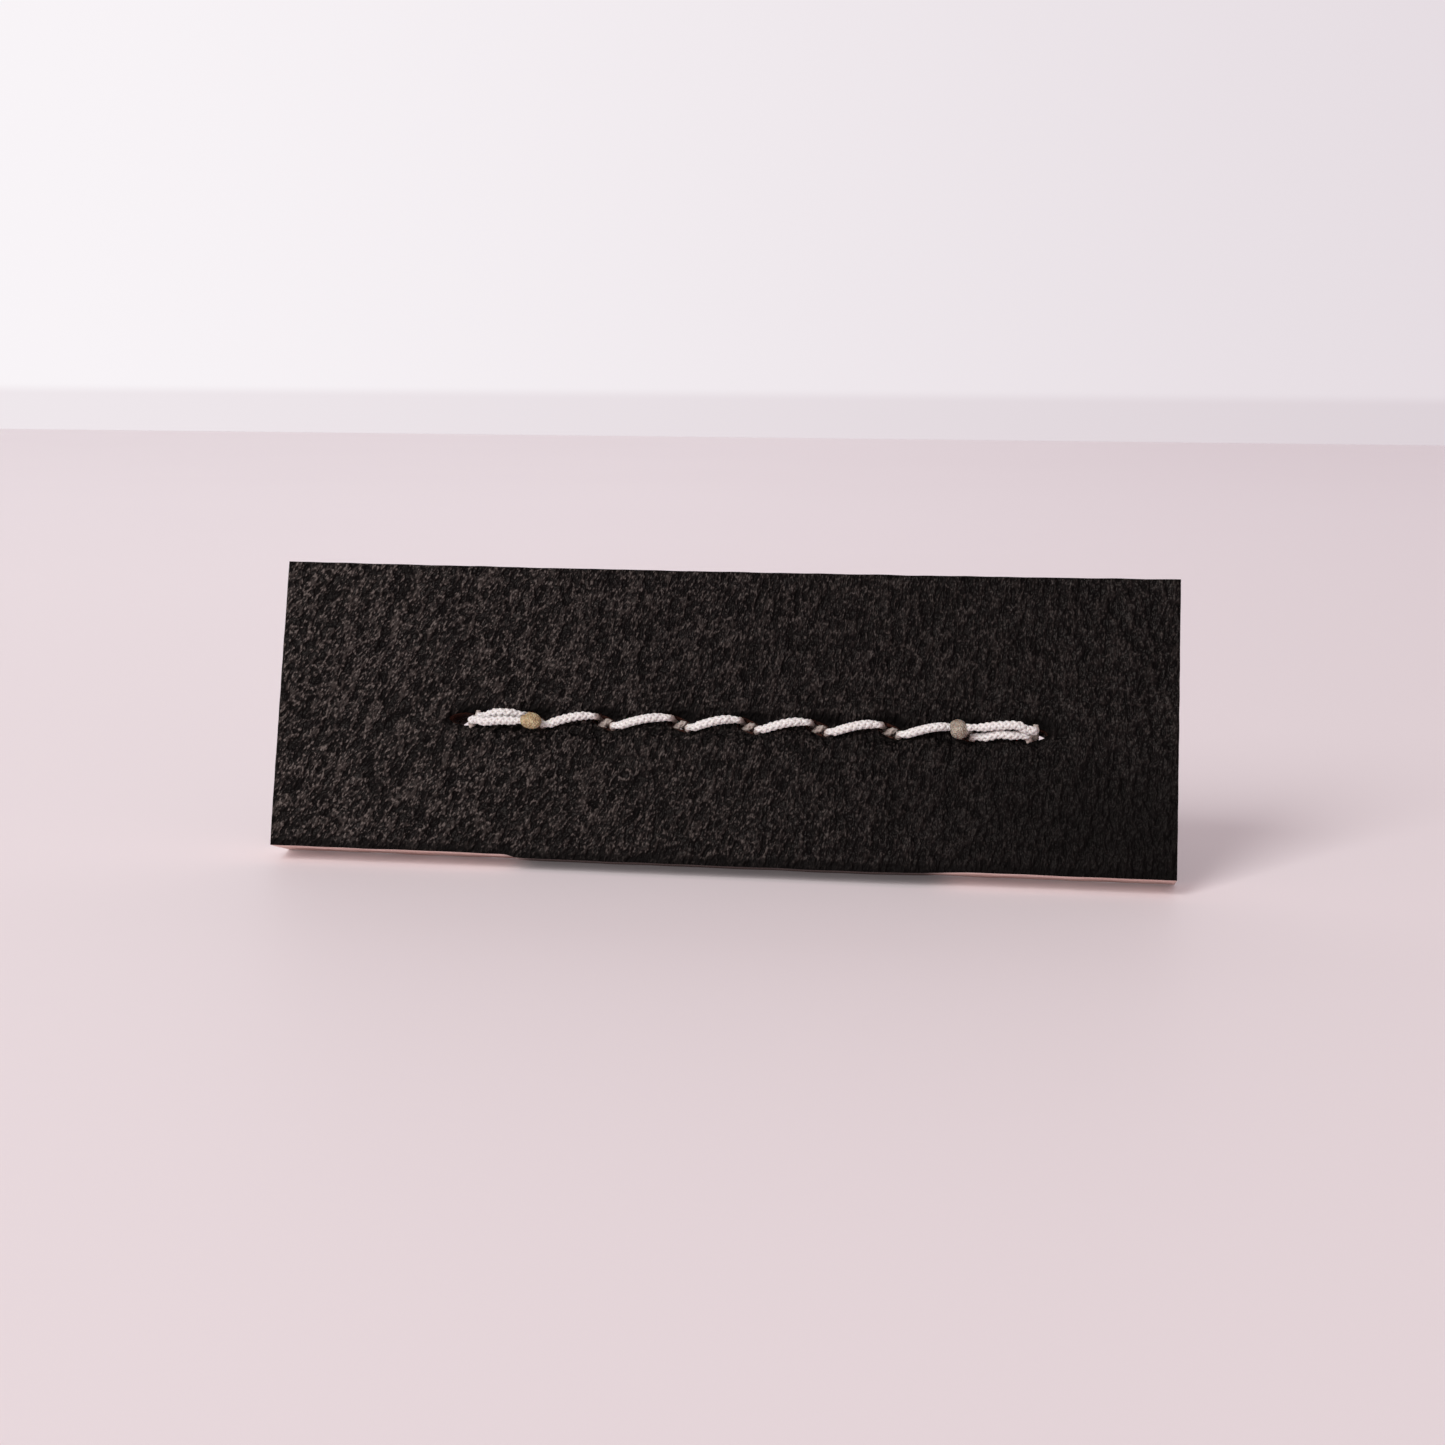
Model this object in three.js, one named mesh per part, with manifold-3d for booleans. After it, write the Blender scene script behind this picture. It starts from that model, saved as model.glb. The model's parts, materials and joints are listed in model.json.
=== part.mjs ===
// Stitched leather sample strip: two plies, locked together by a front and a back thread.
// Millimetres, +Z up, X along the stitch row, Y from the front face to the back. It leans back on its lower back edge.
import * as THREE from 'three';
import { mergeVertices } from 'three/addons/utils/BufferGeometryUtils.js';
import Module from 'manifold-3d';

const wasm = await Module();
wasm.setup();

// driving dimensions
const length = 62.6;          // strip, along the row
const height = 20.3;          // strip, up the face
const plyThickness = 2.075;
const plyGap = 0.05;          // glue line between the plies
const skew = -0.61;           // degrees, the ends are cut a little out of square
const lean = 17.8;            // degrees back from upright
const cutRound = 0.1;         // worn edge of every cut
const cornerRound = 0.3;

const threadDiameter = 0.66;
const pitch = 5.0;
const holeCount = 9;
const firstHole = -17.75;     // from the strip's middle
const rowHeight = 9.45;       // above the bottom cut
// how far each hand-pricked hole is off its mark, along the row
const drift = [0.5, -0.05, -0.1, 0.2, 0.0, -0.15, -0.25, -0.25, -0.45];
const rowSag = [-0.08, -0.03, 0.02, 0.06, 0.06, 0.04, 0.02, 0.0, 0.06];

const legLong = 0.62;         // where a strand runs in its hole, from the hole's middle
const legShort = 0.42;
const mouthPinch = 0.72;      // strands come closer together at the mouth
const endPinch = 0.52;
const lockPlane = 1.3;       // the front thread is the tighter, so the lock lies in the front ply
const lockDepth = 0.35;       // how far each thread is pulled past that plane
const holeLong = 1.01;        // half sizes of a hole
const holeShort = 0.81;
const holeRound = 0.42;
const dimple = { u: 2.0, v: 1.35, w: 0.5 };   // leather pressed in round each mouth

const tubeSides = 8;
const tubeStep = 0.21;
const clearance = 0.04;

const thickness = 2 * plyThickness + plyGap;
const r = threadDiameter / 2;
const holes = [];
for (let i = 0; i < holeCount; i += 1) {
  // in the end holes both strands leave the same way, so the pair stands upright
  const end = i === 0 || i === holeCount - 1;
  holes.push({
    x: firstHole + i * pitch + drift[i], v: rowHeight + rowSag[i], end,
    legX: end ? legShort : legLong, legV: end ? legLong : legShort,
    halfX: end ? holeShort : holeLong, halfV: end ? holeLong : holeShort,
  });
}

// face coordinates: u along, v up the face, w into the leather
const onFace = (u, v, w) => new THREE.Vector3(u, w, v);

// lean about the row direction, then stand the lowest edge on the floor
const leanAngle = THREE.MathUtils.degToRad(lean);
const place = new THREE.Matrix4().makeRotationX(-leanAngle);
const depthMiddle = (thickness * Math.cos(leanAngle) + height * Math.sin(leanAngle)) / 2;
place.premultiply(new THREE.Matrix4().makeTranslation(0, -depthMiddle, thickness * Math.sin(leanAngle)));

const black = new THREE.MeshStandardMaterial({ color: 0x1d1a19, roughness: 0.6 });
const blackBack = new THREE.MeshStandardMaterial({ color: 0x231f1d, roughness: 0.65 });
const white = new THREE.MeshStandardMaterial({ color: 0xe9e6e4, roughness: 0.75 });
const tan = new THREE.MeshStandardMaterial({ color: 0xbf9f74, roughness: 0.7 });
const beige = new THREE.MeshStandardMaterial({ color: 0xa3968a, roughness: 0.7 });

const group = new THREE.Group();
group.name = 'stitched_leather_strip';

function addMesh(name, geometry, material) {
  geometry.applyMatrix4(place);
  geometry.computeVertexNormals();
  const mesh = new THREE.Mesh(geometry, material);
  mesh.name = name;
  group.add(mesh);
}

function cornered(target, points, round) {
  // a closed outline with rounded corners, drawn into a Shape or a Path
  const count = points.length;
  for (let i = 0; i < count; i += 1) {
    const before = points[(i + count - 1) % count];
    const here = points[i];
    const after = points[(i + 1) % count];
    const into = here.clone().sub(before).normalize().multiplyScalar(round);
    const out = after.clone().sub(here).normalize().multiplyScalar(round);
    const start = here.clone().sub(into);
    const end = here.clone().add(out);
    if (i === 0) target.moveTo(start.x, start.y);
    else target.lineTo(start.x, start.y);
    target.quadraticCurveTo(here.x, here.y, end.x, end.y);
  }
  target.closePath();
  return target;
}

function plyShape() {
  const slide = Math.tan(THREE.MathUtils.degToRad(skew)) * height / 2;
  const half = length / 2;
  const outline = [
    new THREE.Vector2(-half - slide, 0), new THREE.Vector2(half - slide, 0),
    new THREE.Vector2(half + slide, height), new THREE.Vector2(-half + slide, height),
  ];
  const shape = cornered(new THREE.Shape(), outline, cornerRound);
  for (const hole of holes) {
    const box = [
      new THREE.Vector2(hole.x - hole.halfX, hole.v - hole.halfV), new THREE.Vector2(hole.x - hole.halfX, hole.v + hole.halfV),
      new THREE.Vector2(hole.x + hole.halfX, hole.v + hole.halfV), new THREE.Vector2(hole.x + hole.halfX, hole.v - hole.halfV),
    ];
    shape.holes.push(cornered(new THREE.Path(), box, holeRound));
  }
  return shape;
}

function plyGeometry(frontDepth) {
  const geometry = new THREE.ExtrudeGeometry(plyShape(), {
    depth: plyThickness - 2 * cutRound, steps: 1, curveSegments: 4,
    bevelEnabled: true, bevelThickness: cutRound, bevelSize: cutRound, bevelOffset: -cutRound, bevelSegments: 2,
  });
  geometry.deleteAttribute('uv');
  geometry.translate(0, 0, cutRound - plyThickness - frontDepth);
  geometry.rotateX(Math.PI / 2);
  return geometry;
}

function dimpled(geometry, faceDepth) {
  // press a shallow bowl into the grain side round each hole
  let solid = toManifold(geometry);
  for (const hole of holes) {
    const bowl = new THREE.SphereGeometry(1, 16, 8);
    bowl.scale(dimple.u, dimple.w, dimple.v);
    bowl.translate(hole.x, faceDepth, hole.v);
    solid = solid.subtract(toManifold(bowl));
  }
  return fromManifold(solid);
}

addMesh('front_ply', dimpled(plyGeometry(0), 0), black);
addMesh('back_ply', dimpled(plyGeometry(plyThickness + plyGap), thickness), blackBack);

// One thread, seen from its own face: it starts in the second hole's bead, runs back to the first hole, forward
// through every hole to the last, and back to the bead at the last hole but one.
const sitting = r + 0.03;               // a strand's middle above the face
const turn = r + 0.05;                  // radius of its turn over a hole's rim
const over = 0.43;                      // how much higher the crossing strand of a doubled stitch rides
const apart = 0.29;                     // half the distance between the two strands of a doubled stitch

function rimDepth(hole) {
  // how deep the bowl is where it meets the hole
  return 0.68 * dimple.w * Math.sqrt(1 - (hole.halfX / dimple.u) ** 2);
}

function dip(hole, slope, bottom, enterStitch, leaveStitch) {
  // slope 1: in at the upper left, out at the lower right. slope -1: lower left and upper right.
  const down = (sideways, stitch) => {
    const leg = { x: hole.x + sideways * hole.legX, v: hole.v - sideways * slope * hole.legV };
    const mouthV = hole.v + (leg.v - hole.v) * (hole.end ? endPinch : mouthPinch);
    const list = [];
    const depth = rimDepth(hole);
    if (sideways === stitch) {
      // round the rim, from along the bowl to straight down the hole
      const rim = hole.x + stitch * hole.halfX;
      for (const degrees of [-22, 15, 45, 72]) {
        const angle = THREE.MathUtils.degToRad(degrees);
        list.push(onFace(rim - stitch * turn * Math.sin(angle), mouthV, depth - turn * Math.cos(angle)));
      }
    } else {
      // this strand crosses the mouth first, and turns down at its far side
      list.push(onFace(leg.x + stitch * 0.62, mouthV, -sitting - 0.02), onFace(leg.x + stitch * 0.2, mouthV, -sitting + 0.16));
      list.push(onFace(leg.x + stitch * 0.02, mouthV, 0.12));
    }
    list.push(onFace(leg.x, hole.v + (leg.v - hole.v) * 0.88, Math.min(0.48, bottom - 0.9)));
    const straight = bottom - lockDepth;
    if (straight > 1.6) list.push(onFace(leg.x, leg.v, 0.9), onFace(leg.x, leg.v, straight - 0.7));
    const inner = (part, at) => onFace(hole.x + part * (leg.x - hole.x), hole.v + part * (leg.v - hole.v), at);
    list.push(inner(0.985, straight - 0.25), inner(0.9, straight), inner(0.62, bottom - 0.14), inner(0.3, bottom - 0.02));
    return list;
  };
  return [...down(-1, enterStitch), onFace(hole.x, hole.v, bottom), ...down(1, leaveStitch).reverse()];
}

function threadPoints(bottom) {
  const points = [];
  const last = holeCount - 1;
  const single = (from, to) => {
    // leaves low on the left, rides up, and falls into the next hole from above
    const span = to.x - from.x;
    const at = (part, rise, lift) => onFace(from.x + part * span, from.v + part * (to.v - from.v) + rise, -sitting + lift);
    return [at(0.3, -0.2, 0.14), at(0.4, -0.06, 0.02), at(0.52, 0.1, -0.02), at(0.63, 0.22, 0.03), at(0.71, 0.28, 0.14)];
  };
  // the melted start, and the first pass back to the end hole, riding low and in front
  const h0 = holes[0];
  const h1 = holes[1];
  points.push(onFace(h1.x - 0.12, h1.v - 0.1, -sitting - 0.55), onFace(h1.x - 0.5, h1.v - 0.2, -sitting - 0.52));
  points.push(onFace(h1.x - 1.2, h1.v - apart + 0.04, -sitting - over), onFace((h0.x + h1.x) / 2, h0.v - apart + 0.08, -sitting - over));
  points.push(onFace(h0.x + 1.1, h0.v - apart - 0.02, -sitting - over * 0.85));
  points.push(...dip(h0, -1, bottom, 1, 1));
  points.push(onFace(h0.x + 1.75, h0.v + apart + 0.1, -sitting + 0.08), onFace((h0.x + h1.x) / 2 + 0.2, h0.v + apart + 0.1, -sitting));
  points.push(onFace(h1.x - 1.5, h1.v + apart + 0.06, -sitting + 0.14));
  for (let i = 1; i < last; i += 1) {
    points.push(...dip(holes[i], 1, bottom, -1, 1));
    if (i < last - 1) points.push(...single(holes[i], holes[i + 1]));
  }
  const h7 = holes[last - 1];
  const h8 = holes[last];
  points.push(onFace(h7.x + 1.6, h7.v - apart - 0.02, -sitting + 0.1), onFace((h7.x + h8.x) / 2, h7.v - apart + 0.16, -sitting));
  points.push(onFace(h8.x - 1.6, h8.v - apart + 0.06, -sitting + 0.08));
  points.push(...dip(h8, -1, bottom, -1, -1));
  points.push(onFace(h8.x - 1.1, h8.v + apart + 0.2, -sitting - over * 0.85));
  points.push(onFace((h7.x + h8.x) / 2, h7.v + apart + 0.22, -sitting - over), onFace(h7.x + 1.2, h7.v + apart + 0.02, -sitting - over));
  points.push(onFace(h7.x + 0.5, h7.v + 0.2, -sitting - 0.52), onFace(h7.x + 0.12, h7.v + 0.1, -sitting - 0.55));
  return points;
}

function toBack(point) {
  // the back thread lies on the other face, with its strands on the other diagonal of each hole
  const nearest = holes.reduce((best, hole) => (Math.abs(hole.x - point.x) < Math.abs(best.x - point.x) ? hole : best));
  return new THREE.Vector3(point.x, thickness - point.y, 2 * nearest.v - point.z);
}

const circle = (radius, sides) => {
  const shape = new THREE.Shape();
  for (let i = 0; i < sides; i += 1) {
    const angle = (i + 0.5) * 2 * Math.PI / sides;
    const x = radius * Math.cos(angle);
    const y = radius * Math.sin(angle);
    if (i === 0) shape.moveTo(x, y);
    else shape.lineTo(x, y);
  }
  shape.closePath();
  return shape;
};

function tube(points, radius) {
  const curve = new THREE.CatmullRomCurve3(points, false, 'centripetal');
  curve.arcLengthDivisions = 6000;
  const steps = Math.round(curve.getLength() / tubeStep);
  const geometry = new THREE.ExtrudeGeometry(circle(radius, tubeSides), { extrudePath: curve, steps, bevelEnabled: false });
  geometry.deleteAttribute('uv');
  return geometry;
}

function toManifold(geometry) {
  const bare = geometry.clone();
  bare.deleteAttribute('normal');
  if (bare.attributes.uv) bare.deleteAttribute('uv');
  const merged = mergeVertices(bare, 1e-5);
  return new wasm.Manifold(new wasm.Mesh({
    numProp: 3,
    vertProperties: new Float32Array(merged.attributes.position.array),
    triVerts: new Uint32Array(merged.index.array),
  }));
}

function fromManifold(solid) {
  const mesh = solid.getMesh();
  const geometry = new THREE.BufferGeometry();
  geometry.setAttribute('position', new THREE.BufferAttribute(new Float32Array(mesh.vertProperties), 3));
  geometry.setIndex(new THREE.BufferAttribute(new Uint32Array(mesh.triVerts), 1));
  return geometry;
}

function bead(hole, size, lumps, phase) {
  // a lumpy drop of melted cord standing over the hole's mouth
  const geometry = new THREE.SphereGeometry(1, 20, 14);
  const position = geometry.attributes.position;
  const point = new THREE.Vector3();
  for (let i = 0; i < position.count; i += 1) {
    point.fromBufferAttribute(position, i);
    const around = Math.atan2(point.z, point.x);
    const swell = 1 + lumps * Math.cos(2 * around + phase) * (1 - point.y * point.y);
    point.multiplyScalar(swell);
    position.setXYZ(i, hole.x + point.x * size.x, -sitting - size.lift + point.y * size.w, hole.v + point.z * size.v);
  }
  return geometry;
}

function flipToBack(geometry) {
  const position = geometry.attributes.position;
  const point = new THREE.Vector3();
  for (let i = 0; i < position.count; i += 1) {
    point.fromBufferAttribute(position, i);
    const back = toBack(point);
    position.setXYZ(i, back.x, back.y, back.z);
  }
  return geometry;
}

const frontPoints = threadPoints(lockPlane + lockDepth);
const backPoints = threadPoints(thickness - lockPlane + lockDepth).map(toBack);
addMesh('front_thread', tube(frontPoints, r), white);
addMesh('back_thread', tube(backPoints, r), white);

const leftBead = { x: 0.7, v: 0.62, w: 0.52, lift: 0.66 };
const rightBead = { x: 0.63, v: 0.63, w: 0.52, lift: 0.66 };
const sockets = [toManifold(tube(frontPoints, r + clearance)), toManifold(tube(backPoints, r + clearance))];

function addBead(name, geometry, socket, material) {
  const solid = toManifold(geometry).subtract(socket);
  // the cut can leave crumbs beside the strands: only the drop itself is kept
  const pieces = solid.decompose().sort((a, b) => b.volume() - a.volume());
  addMesh(name, fromManifold(pieces[0]), material);
}

addBead('front_left_melted_end', bead(holes[1], leftBead, 0.07, 0.5), sockets[0], tan);
addBead('front_right_melted_end', bead(holes[holeCount - 2], rightBead, 0.06, 2.2), sockets[0], beige);
addBead('back_left_melted_end', flipToBack(bead(holes[1], leftBead, 0.07, 0.5)), sockets[1], tan);
addBead('back_right_melted_end', flipToBack(bead(holes[holeCount - 2], rightBead, 0.06, 2.2)), sockets[1], beige);

// stand the lowest point on the floor, with the box's middle at X = Y = 0
const box = new THREE.Box3().setFromObject(group);
for (const mesh of group.children) mesh.geometry.translate(-(box.min.x + box.max.x) / 2, -(box.min.y + box.max.y) / 2, -box.min.z);

export default group;
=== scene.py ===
import math
import json
import bmesh
import bpy
from mathutils import Matrix, Quaternion, Vector, kdtree, noise


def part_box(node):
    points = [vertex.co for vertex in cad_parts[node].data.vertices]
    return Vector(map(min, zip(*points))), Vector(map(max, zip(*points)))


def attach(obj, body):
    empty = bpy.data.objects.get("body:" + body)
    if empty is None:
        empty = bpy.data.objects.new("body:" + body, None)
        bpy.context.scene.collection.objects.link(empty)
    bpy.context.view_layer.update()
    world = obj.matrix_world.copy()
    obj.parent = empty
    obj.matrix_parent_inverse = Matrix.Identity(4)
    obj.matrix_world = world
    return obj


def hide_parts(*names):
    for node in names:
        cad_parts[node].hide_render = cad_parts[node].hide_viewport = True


# A stitched leather strip. Shapes are worked out in millimetres on the flat strip, u along the row, v up the
# face and w into the leather, and then leaned back into place in metres.

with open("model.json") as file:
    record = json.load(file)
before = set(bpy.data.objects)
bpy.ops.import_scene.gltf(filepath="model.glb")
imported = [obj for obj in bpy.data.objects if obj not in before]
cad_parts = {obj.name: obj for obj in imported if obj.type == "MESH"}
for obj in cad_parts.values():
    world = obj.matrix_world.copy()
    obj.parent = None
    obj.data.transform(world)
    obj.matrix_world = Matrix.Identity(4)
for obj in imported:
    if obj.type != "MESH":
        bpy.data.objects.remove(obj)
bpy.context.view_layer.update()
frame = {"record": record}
mounts = {mount["name"]: mount for mount in frame["record"]["mounts"]}

strip = {
    "length": 62.6,
    "height": 20.3,
    "ply": 2.075,
    "gap": 0.05,
    "skew": -0.61,          # degrees
    "edgeRound": 0.11,
    "grid": 0.22,           # size of a face on the grain side
    "rows": (0.025, 0.06, 0.11, 0.3, 0.7, 1.25, 1.75),      # depths of the rows on the cuts and hole walls
}
thickness = 2 * strip["ply"] + strip["gap"]

cutAxis = mounts["bottom_cut"]["axis"]
lean = math.atan2(-cutAxis[1], -cutAxis[2])
cutMiddle = Vector(mounts["bottom_cut"]["pos_m"]) * 1000
tilt = Matrix.Rotation(-lean, 4, "X")
home = Matrix.Translation(cutMiddle - tilt @ Vector((0, thickness - strip["ply"] / 2, 0)))
place = Matrix.Scale(0.001, 4) @ home @ tilt


def seat(u, w, v):
    return place @ Vector((u, w, v))


# the row of holes, counted from the first one, which the cord's own box finds
row = {
    "pitch": 5.0,
    "count": 9,
    "height": 9.45,
    "drift": [0.5, -0.05, -0.1, 0.2, 0.0, -0.15, -0.25, -0.25, -0.45],
    "sag": [-0.08, -0.03, 0.02, 0.06, 0.06, 0.04, 0.02, 0.0, 0.06],
    "longHole": (0.62, 0.42, 1.01),      # how far out a strand runs, along and up, and half the hole's length
    "shortHole": (0.42, 0.62, 0.81),     # the same for the first and the last, which stand upright
    "bowl": (2.0, 0.5),                  # half length and depth of the dish round a hole
    "pinch": 0.72,
    "pinchEnd": 0.25,
    "lockPlane": 1.3,
    "lock": 0.35,
    "cord": 0.66,
}
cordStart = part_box("front_thread")[0][0] * 1000 - 0.01
firstHole = cordStart + row["cord"] / 2 + row["shortHole"][0] - row["drift"][0]
holes = []
for number in range(row["count"]):
    across = firstHole + number * row["pitch"] + row["drift"][number]
    holes.append((across, row["height"] + row["sag"][number]))
print("first hole", round(holes[0][0], 3))


def isEnd(number):
    return number in (0, row["count"] - 1)


class Wire:
    def __init__(self, paint, socket):
        self.paint = paint
        self.socket = socket

    def sum(self, kind, a, b=0.0):
        return self.paint.node("ShaderNodeMath", {"operation": kind}, {0: a, 1: b})

    def __add__(self, other):
        return self.sum("ADD", self, other)

    def __radd__(self, other):
        return self.sum("ADD", other, self)

    def __sub__(self, other):
        return self.sum("SUBTRACT", self, other)

    def __rsub__(self, other):
        return self.sum("SUBTRACT", other, self)

    def __mul__(self, other):
        return self.sum("MULTIPLY", self, other)

    def __rmul__(self, other):
        return self.sum("MULTIPLY", other, self)

    def over(self, low, high):
        # 0 below low, 1 above high, smooth between
        sockets = {0: self, 1: low, 2: high, 3: 0.0, 4: 1.0}
        return self.paint.node("ShaderNodeMapRange", {"interpolation_type": "SMOOTHSTEP"}, sockets)


class Paint:
    def __init__(self, name, **fixed):
        self.material = bpy.data.materials.new(name)
        self.material.use_nodes = True
        self.tree = self.material.node_tree
        self.shader = self.tree.nodes["Principled BSDF"]
        for socket, value in fixed.items():
            self.shader.inputs[socket.replace("_", " ")].default_value = value
        self.spot = self.node("ShaderNodeTexCoord", {}, {}, "Object")

    def node(self, kind, settings, sockets, out=0):
        made = self.tree.nodes.new(kind)
        for key, value in settings.items():
            setattr(made, key, value)
        for key, value in sockets.items():
            if isinstance(value, Wire):
                self.tree.links.new(value.socket, made.inputs[key])
            else:
                made.inputs[key].default_value = value
        return Wire(self, made.outputs[out])

    def part(self, axis, vector=None):
        # one coordinate of a vector, 0 to 2, and of the object's own place when none is given
        return self.node("ShaderNodeSeparateXYZ", {}, {0: vector or self.spot}, axis)

    def marked(self, name, out):
        # what write() left on the mesh, as a vector (1) or a number (2)
        return self.node("ShaderNodeAttribute", {"attribute_name": name}, {}, out)

    def stretched(self, vector, scale):
        return self.node("ShaderNodeVectorMath", {"operation": "MULTIPLY"}, {0: vector, 1: scale})

    def mapped(self, scale):
        return self.node("ShaderNodeMapping", {}, {"Vector": self.spot, "Scale": scale})

    def clouds(self, scale, detail=2.0, roughness=0.5, vector=None):
        sockets = {"Vector": vector or self.spot, "Scale": scale, "Detail": detail, "Roughness": roughness}
        return self.node("ShaderNodeTexNoise", {}, sockets)

    def cells(self, scale):
        return self.node("ShaderNodeTexVoronoi", {}, {"Vector": self.spot, "Scale": scale}, "Distance")

    def mix(self, factor, first, second):
        return self.node("ShaderNodeMix", {"data_type": "RGBA"}, {0: factor, 6: first, 7: second}, 2)

    def relief(self, height, distance, strength=1.0):
        sockets = {"Height": height, "Distance": distance, "Strength": strength}
        return self.node("ShaderNodeBump", {}, sockets)

    def feed(self, **wires):
        for socket, wire in wires.items():
            self.tree.links.new(wire.socket, self.shader.inputs[socket.replace("_", " ")])


def rgb(r, g, b):
    # a colour given as it is seen on screen, 0 to 255
    linear = []
    for part in (r, g, b):
        part /= 255
        linear.append(part / 12.92 if part <= 0.04045 else ((part + 0.055) / 1.055) ** 2.4)
    return (*linear, 1)


grain = {
    "valleyAndShade": rgb(3, 3, 3),
    "base": rgb(10, 8, 8),
    # top and worn: lighter grain tops and specks, partly the grain's own colour and partly painted sheen and
    # highlight
    "top": rgb(48, 42, 40),
    "worn": rgb(122, 111, 106),
    "sheen": 0.085,
    "sheenTint": rgb(255, 238, 232),
    "relief": 0.00048,
    "guideLine": 2.25,      # mm above the row
}


def grainPaint(name):
    paint = Paint(name, Specular_IOR_Level=grain["sheen"], Specular_Tint=grain["sheenTint"])
    east = paint.part(0)
    # the ridges of the grain lean over on the left and stand up on the right
    slope = 0.45 * east.over(-0.022, 0.026) - 0.5
    sockets = {"Vector": paint.spot, "Angle": slope}
    turned = paint.node("ShaderNodeVectorRotate", {"rotation_type": "Y_AXIS"}, sockets)
    drawn = paint.stretched(turned, (1.0, 1.0, 0.3))
    mild = paint.stretched(turned, (1.0, 1.0, 0.5))
    ridges = paint.clouds(1600.0, 1.0, 0.5, drawn)
    bumps = paint.clouds(3500.0, 1.0, 0.5, mild)
    pores = paint.clouds(7200.0, 1.0, 0.5, mild)
    wide = paint.clouds(240.0)
    # height up the face in mm, and the painted shade at the stitch holes
    up = paint.part(1, paint.marked("flat", 1))
    paintedHoleShade = paint.marked("paintedHoleShade", 2)
    offLine = up - (row["height"] + grain["guideLine"])
    line = 1 - offLine.sum("ABSOLUTE", offLine).over(0.03, 0.11)
    height = ridges * 1.1 + bumps * 0.75 + pores * 0.14 + wide * 0.6 - line * 0.05
    high = ridges * 0.3 + bumps * 0.4 + pores * 0.3
    # darker in the valleys of the grain: partly its own tone, partly painted shade
    tint = paint.mix(high.over(0.4, 0.53), grain["valleyAndShade"], grain["base"])
    # painted sheen: the tops and specks below are lighter on the left and fade to the right and the lower
    # right
    worn = 1 - east.over(-0.036, 0.026) * 0.78 - east.over(0.002, 0.03) * (1 - up.over(4, 12)) * 0.16
    tint = paint.mix(high.over(0.48, 0.59) * worn, tint, grain["top"])
    # light specks, partly the grain's own colour and partly painted highlight
    speckAndGlint = pores.over(0.55, 0.68) * high.over(0.49, 0.57)
    tint = paint.mix(speckAndGlint * worn * 0.5, tint, grain["worn"])
    tint = paint.mix(line * high.over(0.44, 0.56) * 0.3, tint, grain["top"])
    # darker along the lower cut, with painted shade in the lower right corner, and painted shade and shadow at
    # the holes
    lower = 1 - up.over(0.25, 0.85)
    corner = east.over(0.004, 0.034) * (1 - up.over(3, 11))
    dark = 1 - (1 - lower * 0.8) * (1 - paintedHoleShade) * (1 - corner * 0.6)
    tint = paint.mix(dark, tint, grain["valleyAndShade"])
    rough = 0.36 - 0.06 * high.over(0.42, 0.6) + dark * 0.4
    paint.feed(Base_Color=tint, Roughness=rough, Normal=paint.relief(height, grain["relief"]))
    return paint.material


def cutPaint(name):
    paint = Paint(name, Roughness=0.8, Specular_IOR_Level=0.25)
    east = paint.part(0)
    fibres = paint.clouds(4200.0, 5.0, 0.7, paint.mapped((0.4, 1.0, 1.4)))
    streak = paint.clouds(900.0, 4.0, 0.6, paint.mapped((0.35, 1.6, 1.6)))
    raw = paint.mix(streak.over(0.35, 0.7), rgb(214, 178, 170), rgb(244, 220, 212))
    raw = paint.mix(fibres.over(0.5, 0.8) * 0.6, raw, rgb(250, 232, 222))
    # the middle of the lower cut is darker
    low = 1 - paint.part(2).over(0.003, 0.006)
    darkMiddle = low * east.over(-0.0150, -0.0125) * (1 - east.over(0.0145, 0.0170))
    darkMiddleTint = paint.mix(streak.over(0.4, 0.75), rgb(24, 12, 12), rgb(56, 34, 31))
    tint = paint.mix(darkMiddle * 0.92, raw, darkMiddleTint)
    paint.feed(Base_Color=tint, Normal=paint.relief(fibres + streak * 0.6, 0.00012, 0.8))
    return paint.material


def shadedWallPaint(name):
    # the raw leather inside the holes, with painted shade: much darker than the same leather on the cuts
    paint = Paint(name, Roughness=0.85, Specular_IOR_Level=0.2)
    fibres = paint.clouds(3800.0, 4.0, 0.7)
    tint = paint.mix(fibres.over(0.35, 0.75), rgb(46, 20, 14), rgb(96, 54, 40))
    paint.feed(Base_Color=tint, Normal=paint.relief(fibres, 0.0001, 0.7))
    return paint.material


slit = {
    "half": (1.0, 0.45),
    "halfEnd": (1.15, 0.46),
    "square": 2.5,          # 2 is an ellipse, more is squarer
    "squareEnd": 1.7,
    "turn": -0.43,          # the slits slant down to the right
    "shift": (-0.5, -0.3),  # the first and the last lie to the left of where their cords go in
    "flare": 0.049,         # how much wider the mouth is, as a part of the slit
    "taper": 0.1,           # how much narrower it is further in
    "closed": 0.45,         # and how far its middle closes up
}
# how far the leather lies in or out, then where, when that isn't at the middle, and how wide
pressed = {
    "dimple": (0.42, 1.0),
    "pucker": (0.05, 1.3, 0.75),
    "puckers": 9,           # folds round a hole
    "underCord": (0.09, 0.55),
    "besideCord": (-0.035, 1.15, 0.55),
    "lowerCut": (0.05, 0.75),
}


def bell(x, width, middle=0.0):
    return math.exp(-(((x - middle) / width) ** 2))


def nearestHole(u):
    return min(range(len(holes)), key=lambda number: abs(holes[number][0] - u))


def slitMiddle(number):
    u, v = holes[number]
    if isEnd(number):
        u += slit["shift"][0 if number == 0 else 1]
    return u, v


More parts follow.
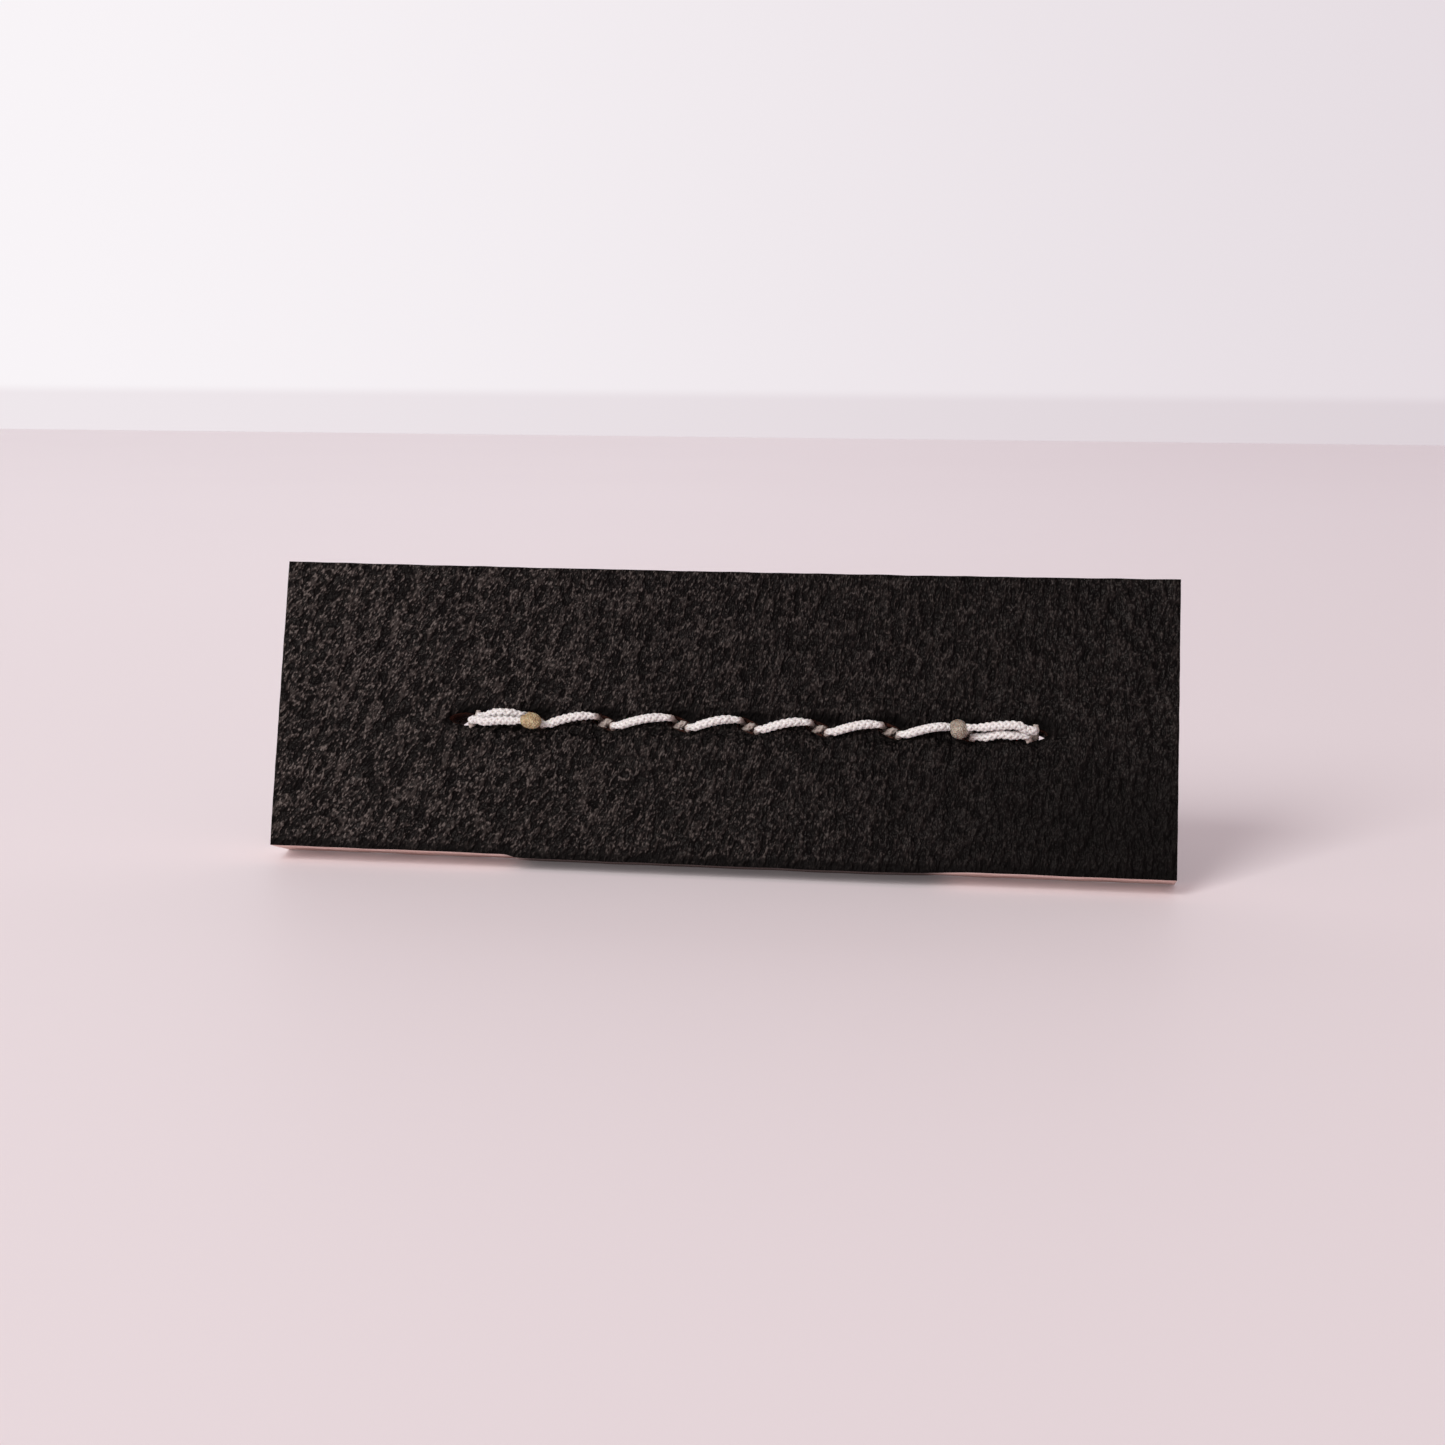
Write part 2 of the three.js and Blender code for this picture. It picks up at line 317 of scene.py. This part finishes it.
def slitRadius(number, angle, side):
    if isEnd(number):
        halfU, halfV = slit["halfEnd"]
        power = slit["squareEnd"]
    else:
        halfU, halfV = slit["half"]
        power = slit["square"]
        angle -= slit["turn"] * side
    a = abs(math.cos(angle) / halfU) ** power
    b = abs(math.sin(angle) / halfV) ** power
    return (a + b) ** (-1 / power)


def faceDrop(u, v, side):
    # how deep the grain side lies under the flat, in mm
    number = nearestHole(u)
    du = u - holes[number][0]
    dv = v - holes[number][1]
    away = math.hypot(du / 1.25, dv)
    angle = math.atan2(dv, du)
    drop = pressed["dimple"][0] * bell(away, pressed["dimple"][1])
    tall, middle, wide = pressed["pucker"]
    folds = math.cos(pressed["puckers"] * angle + 1.7 * number) * (0.6 + 0.4 * math.sin(3 * angle + number))
    drop += tall * bell(away, wide, middle) * folds
    if holes[0][0] < u < holes[-1][0]:
        drop += pressed["underCord"][0] * bell(dv, pressed["underCord"][1])
        tall, middle, wide = pressed["besideCord"]
        drop += tall * bell(abs(dv), wide, middle)
    spot = Vector((u, v, 4.0 * side))
    drop += 0.05 * noise.noise(spot * 0.12) + 0.022 * noise.noise(spot * 0.45)
    drop += 0.018 * noise.noise(Vector((u * 1.9 + v * 0.5, v * 0.9, side)))
    drop += pressed["lowerCut"][0] * bell(v, pressed["lowerCut"][1])
    return drop


def mouthShade(u, v, side):
    # painted shade in the dip above each mouth, where the cord drags the leather down, and a painted shadow
    # under the cord
    number = nearestHole(u)
    du = u - holes[number][0]
    dv = (v - holes[number][1]) * side
    shadeAbove = bell(du, 1.3, 0.15) * bell(dv, 0.5, 0.55)
    shadowUnder = bell(du, 1.3, -0.1) * bell(dv, 0.2, -0.62)
    return min(1.0, 1.7 * shadeAbove + 0.8 * shadowUnder)


def write(data, name, values, kind="FLOAT", field="value"):
    data.attributes.new(name, kind, "POINT").data.foreach_set(field, values)


def finish(name, mesh, paints, smooth=True):
    data = bpy.data.meshes.new(name)
    mesh.to_mesh(data)
    mesh.free()
    for paint in paints:
        data.materials.append(paint)
    if smooth:
        data.shade_smooth()
    made = bpy.data.objects.new(name, data)
    bpy.context.scene.collection.objects.link(made)
    return made


def fitIn(made, node):
    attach(made, "root")
    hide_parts(node)


def pricked(side):
    # the flat grain side with its row of slits
    half = strip["length"] / 2
    tall = strip["height"]
    mesh = bmesh.new()
    columns = round(strip["length"] / strip["grid"])
    rows = round(tall / strip["grid"])
    bmesh.ops.create_grid(mesh, x_segments=columns, y_segments=rows, size=0.5)
    for vert in mesh.verts:
        vert.co = Vector((vert.co.x * 2 * half, (vert.co.y + 0.5) * tall, 0))
    inside = []
    for face in mesh.faces:
        middle = face.calc_center_median()
        number = nearestHole(middle.x)
        midU, midV = slitMiddle(number)
        du = middle.x - midU
        dv = middle.y - midV
        if math.hypot(du, dv) < slitRadius(number, math.atan2(dv, du), side):
            inside.append(face)
    bmesh.ops.delete(mesh, geom=inside, context="FACES")
    rims = set()
    for edge in mesh.edges:
        if not edge.is_boundary:
            continue
        for vert in edge.verts:
            if 0.01 < vert.co.y < tall - 0.01 and abs(vert.co.x) < half - 0.01:
                rims.add(vert)
    for vert in rims:
        number = nearestHole(vert.co.x)
        midU, midV = slitMiddle(number)
        angle = math.atan2(vert.co.y - midV, vert.co.x - midU)
        radius = slitRadius(number, angle, side)
        vert.co = Vector((midU + radius * math.cos(angle), midV + radius * math.sin(angle), 0))
    near = [vert for vert in mesh.verts if abs(vert.co.y - row["height"]) < 1.6 and vert not in rims]
    near = [vert for vert in near if abs(vert.co.x) < half - 1]
    bmesh.ops.smooth_vert(mesh, verts=near, factor=0.4, use_axis_x=True, use_axis_y=True)
    return mesh


def thicken(mesh):
    # the mating side is a copy, and the cuts and hole walls are drawn down to it in rows
    border = [edge for edge in mesh.edges if edge.is_boundary]
    copy = bmesh.ops.duplicate(mesh, geom=mesh.verts[:] + mesh.edges[:] + mesh.faces[:])["geom"]
    for item in copy:
        if isinstance(item, bmesh.types.BMVert):
            item.co.z = strip["ply"]
    mating = [item for item in copy if isinstance(item, bmesh.types.BMFace)]
    walls = []
    depth = 0.0
    for target in strip["rows"] + (strip["ply"],):
        drawn = bmesh.ops.extrude_edge_only(mesh, edges=border)["geom"]
        step = [item for item in drawn if isinstance(item, bmesh.types.BMVert)]
        bmesh.ops.translate(mesh, verts=step, vec=(0, 0, target - depth))
        if target > strip["edgeRound"]:
            walls += [item for item in drawn if isinstance(item, bmesh.types.BMFace)]
        border = [item for item in drawn if isinstance(item, bmesh.types.BMEdge)]
        depth = target
    for face in mating:
        face.material_index = 1
    for face in walls:
        middle = face.calc_center_median()
        inHole = 1 < middle.y < strip["height"] - 1 and abs(middle.x) < strip["length"] / 2 - 1
        face.material_index = 2 if inHole else 1
    bmesh.ops.remove_doubles(mesh, verts=mesh.verts, dist=0.0005)


hang = {
    "least": 0.03,          # how far the front leather hangs below its lower cut at the ends
    "more": 0.24,           # how much further between them
    "from": (-14.0, 6.0),   # where that starts along the row, and how sharply
    "to": (15.0, 1.2),
}


def past(u, where):
    return 1 / (1 + math.exp(-(u - where[0]) * where[1]))


def shaped(u, v, d, side):
    # where a point of the flat leather, d deep, ends up
    half = strip["length"] / 2
    tall = strip["height"]
    # worn edges: the outline steps in and the mouths open out towards the grain
    turn = min(1.0, d / strip["edgeRound"])
    worn = 1 - math.sqrt(1 - (1 - turn) ** 2)
    newU = u
    newV = v
    if abs(u) > half - 1e-4:
        newU = math.copysign(half - worn * strip["edgeRound"], u)
    if v < 1e-4:
        newV = worn * strip["edgeRound"]
    if v > tall - 1e-4:
        newV = tall - worn * strip["edgeRound"]
    number = nearestHole(u)
    midU, midV = slitMiddle(number)
    du = u - midU
    dv = v - midV
    away = math.hypot(du, dv)
    if away < 1.7 and away < slitRadius(number, math.atan2(dv, du), side) * 1.02:
        deep = min(1.0, d / 0.9)
        wide = 1 + slit["flare"] * worn - slit["taper"] * deep
        newU = midU + du * wide
        newV = midV + dv * wide
        if not isEnd(number):
            # the slit closes up between the two legs of the cord
            newV -= dv * slit["closed"] * deep * bell(du, 0.5)
    # hand-cut edges wander, and the top one is a little hollow
    low = max(0.0, 1 - v / 2.5)
    high = v / tall
    newV += low * 0.05 * noise.noise(Vector((u * 0.35, 2.0 * side, 0.0)))
    if side > 0:
        newV -= low * (hang["least"] + hang["more"] * (past(u, hang["from"]) - past(u, hang["to"])))
    newV -= high * 0.11 * (1 - (u / half) ** 2) - high * 0.03 * noise.noise(Vector((u * 0.5, 7.0, side)))
    sideways = max(0.0, abs(u) - half + 2.5) / 2.5
    newU += math.copysign(sideways * 0.05 * noise.noise(Vector((v * 0.45, 3.0, side))), u)
    newU += math.tan(math.radians(strip["skew"])) * (v - tall / 2)
    newD = d + faceDrop(u, v, side) * max(0.0, 1 - d / strip["ply"])
    if 0.2 < d < strip["ply"] - 0.01:
        newD += 0.02 * noise.noise(Vector((u * 1.3, v * 1.3, 9.0)))
    return seat(newU, newD if side > 0 else thickness - newD, newV)


def makePly(name, node, side, paints):
    # side 1 has its grain at w = 0, side -1 at the far face
    mesh = pricked(side)
    thicken(mesh)
    spots = [(vert.co.x, vert.co.y) for vert in mesh.verts]
    for vert in mesh.verts:
        vert.co = shaped(*vert.co, side)
    bmesh.ops.recalc_face_normals(mesh, faces=mesh.faces)
    made = finish(name, mesh, paints)
    write(made.data, "flat", [part for u, v in spots for part in (u, v, 0.0)], "FLOAT_VECTOR", "vector")
    write(made.data, "paintedHoleShade", [mouthShade(u, v, side) for u, v in spots])
    fitIn(made, node)


frontPaints = [grainPaint("front grain"), cutPaint("front cut edge"), shadedWallPaint("front hole wall")]
backPaints = [grainPaint("back grain"), cutPaint("back cut edge"), shadedWallPaint("back hole wall")]
makePly("front_leather", "front_ply", 1, frontPaints)
makePly("back_leather", "back_ply", -1, backPaints)
print("leather", len(holes), "holes")

# the cord's route, seen from its own face, w counted from that face
onFace = -row["cord"] / 2 - 0.03     # where a cord lies on the leather
overIt = onFace - 0.43               # and where one lies over another
rimTurn = row["cord"] / 2 + 0.05
apart = 0.29                         # half the distance between the two strands of a doubled stitch


def dip(number, slope, bottom, enterStitch, leaveStitch):
    # down one hole, round the other thread and out again
    middleU, middleV = holes[number]
    legU, legV, half = row["shortHole"] if isEnd(number) else row["longHole"]
    pinch = row["pinchEnd"] if isEnd(number) else row["pinch"]
    rimDepth = 0.68 * row["bowl"][1] * math.sqrt(1 - (half / row["bowl"][0]) ** 2)

    def down(sideways, stitch):
        sameSide = sideways == stitch
        legAt = middleU + sideways * (legU if sameSide else 0.02)
        reachV = -sideways * slope * legV
        mouthV = middleV + reachV * pinch
        points = []
        if sameSide:
            rim = middleU + stitch * half
            for degrees in (-22, 15, 45, 72):
                inward = rimTurn * math.sin(math.radians(degrees))
                outward = rimTurn * math.cos(math.radians(degrees))
                points.append((rim - stitch * inward, rimDepth - outward, mouthV))
        else:
            points.append((legAt + stitch * 0.62, onFace - 0.02, mouthV))
            points.append((legAt + stitch * 0.2, onFace + 0.16, mouthV))
            points.append((legAt + stitch * 0.02, 0.12, mouthV))
        points.append((legAt, min(0.48, bottom - 0.9), middleV + reachV * 0.88))
        straight = bottom - row["lock"]
        if straight > 1.6:
            points.append((legAt, 0.9, middleV + reachV))
            points.append((legAt, straight - 0.7, middleV + reachV))
        curl = ((0.985, straight - 0.25), (0.9, straight), (0.62, bottom - 0.14), (0.3, bottom - 0.02))
        for part, depth in curl:
            points.append((middleU + part * (legAt - middleU), depth, middleV + part * reachV))
        return points

    return down(-1, enterStitch) + [(middleU, bottom, middleV)] + down(1, leaveStitch)[::-1]


def cordRoute(bottom):
    last = len(holes) - 1
    u0, v0 = holes[0]
    u1, v1 = holes[1]
    # from the first bead back to the first hole, over the second strand
    points = [
        (u1 - 0.12, onFace - 0.55, v1 - 0.1),
        (u1 - 0.5, onFace - 0.52, v1 - 0.2),
        (u1 - 1.2, overIt, v1 - apart + 0.04),
        ((u0 + u1) / 2, overIt, v0 - apart + 0.08),
        (u0 + 1.1, overIt + 0.0645, v0 - apart - 0.02),
    ]
    points += dip(0, -1, bottom, 1, 1)
    points += [
        (u0 + 1.75, onFace + 0.08, v0 + apart + 0.1),
        ((u0 + u1) / 2 + 0.2, onFace, v0 + apart + 0.1),
        (u1 - 1.5, onFace + 0.14, v1 + apart + 0.06),
    ]
    # each stitch climbs to the right: part of the way, rise, how far it sinks
    climb = [(0.3, -0.2, 0.14), (0.4, -0.06, 0.02), (0.52, 0.1, -0.02), (0.63, 0.22, 0.03), (0.71, 0.28, 0.14)]
    for number in range(1, last):
        points += dip(number, 1, bottom, -1, 1)
        if number < last - 1:
            u, v = holes[number]
            nextU, nextV = holes[number + 1]
            for part, rise, sink in climb:
                points.append((u + part * (nextU - u), onFace + sink, v + part * (nextV - v) + rise))
    u7, v7 = holes[-2]
    u8, v8 = holes[-1]
    points += [
        (u7 + 1.6, onFace + 0.1, v7 - apart - 0.02),
        ((u7 + u8) / 2, onFace, v7 - apart + 0.16),
        (u8 - 1.6, onFace + 0.08, v8 - apart + 0.06),
    ]
    points += dip(last, -1, bottom, -1, -1)
    points += [
        (u8 - 1.1, overIt + 0.0645, v8 + apart + 0.08),
        ((u7 + u8) / 2, overIt, v7 + apart + 0.1),
        (u7 + 1.2, overIt, v7 + apart - 0.06),
        (u7 + 0.5, onFace - 0.52, v7 + 0.2),
        (u7 + 0.12, onFace - 0.55, v7 + 0.1),
    ]
    return [Vector(point) for point in points]


def toBack(point):
    v = holes[nearestHole(point.x)][1]
    return Vector((point.x, thickness - point.y, 2 * v - point.z))


def evenly(points, step):
    # a smooth curve through the points, then points at even steps along it
    dense = []
    count = len(points)
    pieces = 14
    for i in range(count - 1):
        p1, p2 = points[i], points[i + 1]
        p0 = points[i - 1] if i else p1 * 2 - p2
        p3 = points[i + 2] if i + 2 < count else p2 * 2 - p1
        t1 = (p1 - p0).length ** 0.5
        t2 = t1 + (p2 - p1).length ** 0.5
        t3 = t2 + (p3 - p2).length ** 0.5
        for k in range(pieces):
            t = t1 + (t2 - t1) * k / pieces
            a1 = p0.lerp(p1, t / t1)
            a2 = p1.lerp(p2, (t - t1) / (t2 - t1))
            a3 = p2.lerp(p3, (t - t2) / (t3 - t2))
            b1 = a1.lerp(a2, t / t2)
            b2 = a2.lerp(a3, (t - t1) / (t3 - t1))
            dense.append(b1.lerp(b2, (t - t1) / (t2 - t1)))
    dense.append(points[-1])
    lengths = [0.0]
    for a, b in zip(dense, dense[1:]):
        lengths.append(lengths[-1] + (b - a).length)
    whole = round(lengths[-1] / step)
    even = []
    index = 0
    for k in range(whole + 1):
        target = lengths[-1] * k / whole
        while index < len(lengths) - 2 and lengths[index + 1] < target:
            index += 1
        span = lengths[index + 1] - lengths[index]
        even.append(dense[index].lerp(dense[index + 1], (target - lengths[index]) / span if span else 0))
    return even, lengths[-1]


braid = {
    "step": 0.068,
    "lay": 1.3,             # length of one turn of a yarn
    "each": 3,              # yarns that go round each way
    "middle": 0.168,        # radius of the ring of yarns
    "weave": 0.03,
    "yarn": 0.132,
    "core": 0.21,
    "squeezed": 0.8,        # what is left of the cord's width down in the holes
}


def cordPaint(name):
    soft = {"Subsurface_Weight": 0.05, "Subsurface_Scale": 0.0003}
    paint = Paint(name, Roughness=0.62, Specular_IOR_Level=0.35, **soft)
    fuzz = paint.clouds(9000.0, 4.0, 0.7)
    dirt = paint.clouds(700.0, 3.0)
    tint = paint.mix(fuzz.over(0.3, 0.7), rgb(204, 196, 193), rgb(238, 233, 231))
    tint = paint.mix(dirt.over(0.55, 0.8) * 0.35, tint, rgb(190, 178, 173))
    # painted shade: darker between the yarns, and darker down in the holes
    tint = paint.mix(paint.marked("out", 2).over(0.15, 0.85), rgb(190, 180, 174), tint)
    tint = paint.mix(paint.marked("deep", 2).over(0.2, 0.9) * 0.8, tint, rgb(160, 142, 132))
    paint.feed(Base_Color=tint, Normal=paint.relief(fuzz, 0.00004, 0.6))
    return paint.material


def carried(centre):
    # a pair of directions across the cord at each point, carried along without twisting
    count = len(centre)
    across = []
    normal = None
    for i in range(count):
        tangent = (centre[min(i + 1, count - 1)] - centre[max(i - 1, 0)]).normalized()
        if normal is None:
            normal = tangent.orthogonal().normalized()
        else:
            normal = (normal - tangent * normal.dot(tangent)).normalized()
        across.append((normal.copy(), tangent.cross(normal)))
    return across


def sunken(point):
    # 0 on the leather, 1 in a hole
    deep = min(point.y, thickness - point.y)
    part = min(1.0, max(0.0, (deep + 0.25) / 0.6))
    return part * part * (3 - 2 * part)


def slimmed(point):
    # how much of its width the cord keeps: less in the holes, and where a stitch bends down into one
    number = nearestHole(point.x)
    pull = 0 if isEnd(number) else bell(abs(point.x - holes[number][0]), 0.4, 0.75)
    return 1 - (1 - braid["squeezed"]) * max(sunken(point), 1.3 * pull)


def braided(name, centre, length, width):
    # the yarns and the core as one curve, made into a mesh
    count = len(centre)
    across = carried(centre)
    curve = bpy.data.curves.new(name, "CURVE")
    curve.dimensions = "3D"
    curve.bevel_depth = braid["yarn"] / 1000
    curve.bevel_resolution = 2
    curve.use_fill_caps = True

    def lay(points, radii):
        spline = curve.splines.new("POLY")
        spline.points.add(len(points) - 1)
        flat = []
        for point in points:
            flat += [*seat(*point), 1]
        spline.points.foreach_set("co", flat)
        spline.points.foreach_set("radius", radii)

    for way in (1, -1):
        for yarn in range(braid["each"]):
            points = []
            for i in range(count):
                turn = 2 * math.pi * i * length / (count - 1) / braid["lay"]
                angle = way * turn + yarn * 2 * math.pi / braid["each"]
                reach = (braid["middle"] + way * braid["weave"] * math.cos(braid["each"] * turn)) * width[i]
                a, b = across[i]
                points.append(centre[i] + a * (reach * math.cos(angle)) + b * (reach * math.sin(angle)))
            lay(points, width)
    lay(centre, [part * braid["core"] / braid["yarn"] for part in width])
    draft = bpy.data.objects.new(name + "_draft", curve)
    bpy.context.scene.collection.objects.link(draft)
    bpy.context.view_layer.update()
    data = bpy.data.meshes.new_from_object(draft.evaluated_get(bpy.context.evaluated_depsgraph_get()))
    bpy.data.objects.remove(draft)
    data.materials.clear()
    data.shade_smooth()
    return data


def makeCord(name, node, route, paint):
    centre, length = evenly(route, braid["step"])
    width = [slimmed(point) for point in centre]
    data = braided(name, centre, length, width)
    data.materials.append(paint)
    # how far out each point of a yarn stands from the middle of the cord, and how deep it lies, which drive
    # the painted shade
    tree = kdtree.KDTree(len(centre))
    for i, point in enumerate(centre):
        tree.insert(seat(*point), i)
    tree.balance()
    near = braid["middle"] - 0.4 * braid["yarn"]
    far = braid["middle"] + braid["weave"] + braid["yarn"]
    outs = []
    deeps = []
    for vert in data.vertices:
        number, away = tree.find(vert.co)[1:]
        outs.append((away * 1000 / width[number] - near) / (far - near))
        deeps.append(sunken(centre[number]))
    write(data, "out", outs)
    write(data, "deep", deeps)
    made = bpy.data.objects.new(name, data)
    bpy.context.scene.collection.objects.link(made)
    fitIn(made, node)
    print(name, "is", round(length, 1), "mm long", len(data.polygons), "faces")


frontRoute = cordRoute(row["lockPlane"] + row["lock"])
backRoute = [toBack(point) for point in cordRoute(thickness - row["lockPlane"] + row["lock"])]
makeCord("front_cord", "front_thread", frontRoute, cordPaint("front cord"))
makeCord("back_cord", "back_thread", backRoute, cordPaint("back cord"))

melts = {
    "tan_melt": (rgb(150, 124, 90), rgb(226, 206, 166)),
    "grey_melt": (rgb(118, 104, 92), rgb(206, 194, 178)),
}
beads = {
    "front_left": {"slot": "tan_melt", "size": (0.7, 0.52, 0.62), "nudge": (0.05, 0, -0.24)},
    "front_right": {"slot": "grey_melt", "size": (0.64, 0.52, 0.64), "nudge": (-0.3, 0, 0.04)},
    "back_left": {"slot": "tan_melt", "size": (0.69, 0.52, 0.61), "nudge": (0.05, 0, 0.1)},
    "back_right": {"slot": "grey_melt", "size": (0.63, 0.52, 0.63), "nudge": (-0.2, 0, 0)},
}


def beadPaint(name, dark, light):
    soft = {"Subsurface_Weight": 0.25, "Subsurface_Scale": 0.0005}
    paint = Paint(name, Roughness=0.6, Specular_IOR_Level=0.4, **soft)
    grains = paint.cells(7500.0)
    blot = paint.clouds(1900.0, 3.0, 0.6)
    tint = paint.mix(blot.over(0.3, 0.7), dark, light)
    tint = paint.mix(grains.over(0.25, 0.6) * 0.5, tint, dark)
    paint.feed(Base_Color=tint, Normal=paint.relief(blot - grains, 0.00014))
    return paint.material


def makeBead(where, look, seed):
    # a lumpy drop of melted cord
    node = where + "_melted_end"
    low, high = (Vector(corner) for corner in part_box(node))
    middle = (low + high) / 2 + tilt @ Vector(look["nudge"]) * 0.001
    mesh = bmesh.new()
    bmesh.ops.create_icosphere(mesh, subdivisions=5, radius=1.0)
    for vert in mesh.verts:
        way = vert.co.normalized()
        around = math.atan2(way.z, way.x)
        rim = 1 - way.y * way.y
        swell = 1 + 0.07 * math.cos(2 * around + seed) * rim
        # a crease between the two lobes where the melted strands met
        swell -= 0.12 * bell(math.cos(around - 1.9 - 0.6 * seed), 0.05, 1) * rim
        swell += 0.05 * noise.noise(way * 2.2 + Vector((seed, 0, 0)))
        swell += 0.028 * noise.noise(way * 7.5 + Vector((0, seed, 0)))
        swell += 0.014 * noise.noise(way * 17.0 + Vector((0, 0, seed)))
        vert.co = middle + (tilt @ (way * Vector(look["size"]) * swell)) * 0.001
    made = finish(where + "_bead", mesh, [beadPaint(where + " melt", *melts[look["slot"]])])
    fitIn(made, node)


for count, (where, look) in enumerate(beads.items()):
    makeBead(where, look, 0.5 + 1.7 * count)
print("beads", len(beads))

# --- table, backdrop, light and camera
room = {
    "tableBack": 0.68,
    "tableFront": -1.6,
    "half": 1.6,
    "wall": 1.1,
}


def tablePaint():
    # it glows a little, so that shade on it stays light
    lit = {"Emission_Color": rgb(255, 243, 245), "Emission_Strength": 0.085}
    paint = Paint("table", Roughness=0.55, Specular_IOR_Level=0.3, **lit)
    # painted light: lighter on the left and towards the back
    east = paint.part(0).over(-0.12, 0.12)
    near = paint.mix(east, rgb(227, 217, 219), rgb(217, 206, 208))
    far = paint.mix(east, rgb(237, 229, 232), rgb(227, 217, 221))
    tint = paint.mix(paint.part(1).over(-0.05, 0.4), near, far)
    paint.feed(Base_Color=paint.mix(paint.clouds(9.0) * 0.25, tint, rgb(222, 212, 216)))
    return paint.material


def backdropPaint():
    # it glows, with painted light lighter on the left and a strip of painted shade where it meets the table
    lit = {"Base_Color": rgb(0, 0, 0), "Emission_Strength": 1.0}
    paint = Paint("backdrop", Roughness=0.9, Specular_IOR_Level=0.0, **lit)
    east = paint.part(0).over(-0.7, 0.55)
    tint = paint.mix(east, rgb(249, 245, 248), rgb(225, 215, 221))
    low = paint.mix(east, rgb(239, 232, 236), rgb(217, 206, 212))
    paint.feed(Emission_Color=paint.mix(paint.part(2).over(0.0015, 0.0085), low, tint))
    return paint.material


mesh = bmesh.new()
bmesh.ops.create_grid(mesh, x_segments=4, y_segments=4, size=0.5)
for vert in mesh.verts:
    deep = room["tableFront"] + (vert.co.y + 0.5) * (room["tableBack"] - room["tableFront"])
    vert.co = Vector((vert.co.x * 2 * room["half"], deep, 0))
finish("table_top", mesh, [tablePaint()], False)

mesh = bmesh.new()
bmesh.ops.create_grid(mesh, x_segments=4, y_segments=4, size=0.5)
for vert in mesh.verts:
    vert.co = Vector((vert.co.x * 4, room["wall"], vert.co.y * 1.6 + 0.3))
bmesh.ops.reverse_faces(mesh, faces=mesh.faces)
finish("back_wall", mesh, [backdropPaint()], False)

light = {
    "way": Vector((-0.41, -0.71, 0.55)),
    "far": 1.6,
    "wide": 0.62,
    "tall": 1.0,            # reaching down low, so that light gets in under the leaning strip
    "power": 21.5,
    "colour": (0.97, 1.0, 0.99),
    "sky": 0.46,
    "skyColour": (1.0, 0.84, 0.88, 1),
}
lamp = bpy.data.lights.new("key", "AREA")
lamp.shape = "RECTANGLE"
lamp.size = light["wide"]
lamp.size_y = light["tall"]
lamp.energy = light["power"]
lamp.color = light["colour"]
key = bpy.data.objects.new("key", lamp)
key.location = light["way"].normalized() * light["far"]
key.rotation_mode = "QUATERNION"
key.rotation_quaternion = light["way"].to_track_quat("Z", "Y")
bpy.context.scene.collection.objects.link(key)

sky = bpy.data.worlds.new("sky")
sky.use_nodes = True
glow = sky.node_tree.nodes["Background"]
glow.inputs["Color"].default_value = light["skyColour"]
glow.inputs["Strength"].default_value = light["sky"]
bpy.context.scene.world = sky
bpy.context.scene.view_settings.view_transform = "Standard"

eye = {
    "lens": 57.3,
    "azimuth": -8.78,
    "elevation": 9.55,
    "roll": 0.28,
    "distance": 0.1581,
    "aim": Vector((0.00048, -0.0021, 0.01038)),
}
cam = bpy.data.cameras.new("camera")
cam.lens = eye["lens"]
cam.sensor_width = 36
cam.clip_start = 0.005
cam.clip_end = 10
camera = bpy.data.objects.new("camera", cam)
azimuth = math.radians(eye["azimuth"])
elevation = math.radians(eye["elevation"])
level = math.cos(elevation)
ahead = Vector((math.sin(azimuth) * level, math.cos(azimuth) * level, -math.sin(elevation)))
camera.location = eye["aim"] - ahead * eye["distance"]
camera.rotation_mode = "QUATERNION"
camera.rotation_quaternion = ahead.to_track_quat("-Z", "Y") @ Quaternion((0, 0, 1), math.radians(eye["roll"]))
bpy.context.scene.collection.objects.link(camera)
bpy.context.scene.camera = camera
print("room, light and camera")
